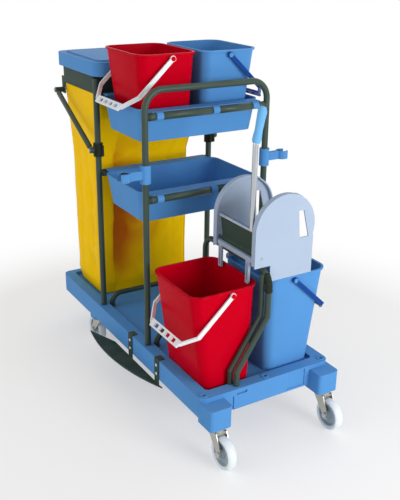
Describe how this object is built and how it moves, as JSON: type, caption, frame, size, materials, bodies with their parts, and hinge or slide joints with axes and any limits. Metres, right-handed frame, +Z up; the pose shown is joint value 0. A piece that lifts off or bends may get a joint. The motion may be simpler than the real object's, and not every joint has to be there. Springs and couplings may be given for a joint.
{
  "type": "janitor cart",
  "caption": "Janitor cart with a moulded base on casters, tube frames, trays, red and blue buckets, a press wringer with a lever, handle clips and a lidded waste bag.",
  "frame": {"origin": "on the floor, under the middle of the box round the cart", "axes": "+X towards the bucket and wringer end, +Y towards the blue buckets, +Z up"},
  "size_m": [1.16, 0.5992, 1.1041],
  "materials": {
    "blue_plastic": "moulded, satin gloss",
    "red_plastic": "moulded, glossy",
    "olive_paint": "powder coated",
    "dark_plastic": "moulded, matt",
    "steel": "brushed, zinc plated",
    "fork_steel": "pressed, zinc plated",
    "wheel_plastic": "moulded, matt",
    "pale_tyre": "non-marking, satin",
    "yellow_sheet": "coated woven sheet",
    "white_plastic": "moulded, satin gloss",
    "navy_plastic": "moulded, satin gloss",
    "pale_plastic": "moulded, satin",
    "jaw_plastic": "moulded, matt",
    "sky_plastic": "moulded, satin gloss",
    "clip_rubber": "ribbed, matt"
  },
  "bodies": {
    "cart": {"chassis": "blue_plastic", "front_hoop": "olive_paint", "rear_posts": "olive_paint", "front_stop_bar": "olive_paint", "rear_stop_bar": "olive_paint", "wringer_arch": "olive_paint", "tube_caps": "dark_plastic", "upper_tray": "blue_plastic", "middle_tray": "blue_plastic", "bag_ring": "olive_paint", "waste_bag": "yellow_sheet", "lid_hinge_rod": "steel", "left_brace": "olive_paint", "right_brace": "olive_paint", "left_collar": "dark_plastic", "right_collar": "dark_plastic", "brace_bolts": "steel", "large_red_bucket": "red_plastic", "large_blue_bucket": "blue_plastic", "mop_rest": "olive_paint"},
    "lid": {"lid": "blue_plastic"},
    "small_red_bucket": {"small_red_bucket": "red_plastic"},
    "small_blue_bucket": {"small_blue_bucket": "blue_plastic"},
    "large_red_bail": {"large_red_bail": "white_plastic"},
    "large_blue_bail": {"large_blue_bail": "navy_plastic"},
    "small_red_bail": {"small_red_bail": "white_plastic"},
    "small_blue_bail": {"small_blue_bail": "navy_plastic"},
    "wringer": {"wringer_front_plate": "pale_plastic", "wringer_rear_plate": "pale_plastic", "wringer_basket": "pale_plastic", "wringer_rail": "pale_plastic", "hinge_rod": "steel", "wringer_bolts": "steel"},
    "press": {"press_jaw": "jaw_plastic", "press_lever": "steel", "lever_grip": "sky_plastic"},
    "left_clip": {"left_clip": "blue_plastic", "left_clip_pad": "clip_rubber"},
    "right_clip": {"right_clip": "blue_plastic", "right_clip_pad": "clip_rubber"},
    "front_left_fork": {"front_left_fork": "fork_steel", "front_left_axle": "steel"},
    "front_left_wheel": {"front_left_wheel": "wheel_plastic", "front_left_tyre": "pale_tyre"},
    "front_right_fork": {"front_right_fork": "fork_steel", "front_right_axle": "steel"},
    "front_right_wheel": {"front_right_wheel": "wheel_plastic", "front_right_tyre": "pale_tyre"},
    "rear_left_fork": {"rear_left_fork": "fork_steel", "rear_left_axle": "steel"},
    "rear_left_wheel": {"rear_left_wheel": "wheel_plastic", "rear_left_tyre": "pale_tyre"},
    "rear_right_fork": {"rear_right_fork": "fork_steel", "rear_right_axle": "steel"},
    "rear_right_wheel": {"rear_right_wheel": "wheel_plastic", "rear_right_tyre": "pale_tyre"}
  },
  "joints": [
    {"name": "front_left_swivel", "type": "hinge", "parent": "cart", "child": "front_left_fork", "pos_m": [0.49, -0.195, 0.118], "axis": [0, 0, 1], "continuous": true},
    {"name": "front_left_roll", "type": "hinge", "parent": "front_left_fork", "child": "front_left_wheel", "pos_m": [0.53, -0.195, 0.05], "axis": [0, 1, 0], "continuous": true},
    {"name": "front_right_swivel", "type": "hinge", "parent": "cart", "child": "front_right_fork", "pos_m": [0.49, 0.195, 0.118], "axis": [0, 0, 1], "continuous": true},
    {"name": "front_right_roll", "type": "hinge", "parent": "front_right_fork", "child": "front_right_wheel", "pos_m": [0.53, 0.195, 0.05], "axis": [0, 1, 0], "continuous": true},
    {"name": "rear_left_swivel", "type": "hinge", "parent": "cart", "child": "rear_left_fork", "pos_m": [-0.311, -0.195, 0.118], "axis": [0, 0, 1], "continuous": true},
    {"name": "rear_left_roll", "type": "hinge", "parent": "rear_left_fork", "child": "rear_left_wheel", "pos_m": [-0.351, -0.195, 0.05], "axis": [0, 1, 0], "continuous": true},
    {"name": "rear_right_swivel", "type": "hinge", "parent": "cart", "child": "rear_right_fork", "pos_m": [-0.311, 0.195, 0.118], "axis": [0, 0, 1], "continuous": true},
    {"name": "rear_right_roll", "type": "hinge", "parent": "rear_right_fork", "child": "rear_right_wheel", "pos_m": [-0.351, 0.195, 0.05], "axis": [0, 1, 0], "continuous": true},
    {"name": "large_red_bail_swing", "type": "hinge", "parent": "cart", "child": "large_red_bail", "pos_m": [0.296, -0.11, 0.4823], "axis": [-1, 0, 0], "range_deg": [0, 133]},
    {"name": "large_blue_bail_swing", "type": "hinge", "parent": "cart", "child": "large_blue_bail", "pos_m": [0.296, 0.11, 0.4823], "axis": [1, 0, 0], "range_deg": [0, 100]},
    {"name": "small_red_bail_swing", "type": "hinge", "parent": "small_red_bucket", "child": "small_red_bail", "pos_m": [-0.07, -0.1, 1.0896], "axis": [-1, 0, 0], "range_deg": [0, 133]},
    {"name": "small_blue_bail_swing", "type": "hinge", "parent": "small_blue_bucket", "child": "small_blue_bail", "pos_m": [-0.07, 0.1, 1.0896], "axis": [1, 0, 0], "range_deg": [0, 133]},
    {"name": "small_red_bucket_lift", "type": "slide", "parent": "cart", "child": "small_red_bucket", "axis": [0, 0, 1], "range_m": [0, 0.26]},
    {"name": "small_blue_bucket_lift", "type": "slide", "parent": "cart", "child": "small_blue_bucket", "axis": [0, 0, 1], "range_m": [0, 0.26]},
    {"name": "wringer_lift", "type": "slide", "parent": "cart", "child": "wringer", "axis": [0, 0, 1], "range_m": [0, 0.2]},
    {"name": "press_lever_pull", "type": "hinge", "parent": "wringer", "child": "press", "pos_m": [0.3122, -0.016, 0.5751], "axis": [-1, 0, 0], "range_deg": [0, 50]},
    {"name": "lid_hinge", "type": "hinge", "parent": "cart", "child": "lid", "pos_m": [-0.5493, 0, 1.0043], "axis": [0, -1, 0], "range_deg": [0, 100]},
    {"name": "left_clip_turn", "type": "hinge", "parent": "cart", "child": "left_clip", "pos_m": [0.1, -0.214, 0.768], "axis": [0, 0, 1], "range_deg": [-60, 60]},
    {"name": "right_clip_turn", "type": "hinge", "parent": "cart", "child": "right_clip", "pos_m": [0.1, 0.214, 0.768], "axis": [0, 0, 1], "range_deg": [-60, 60]}
  ]
}
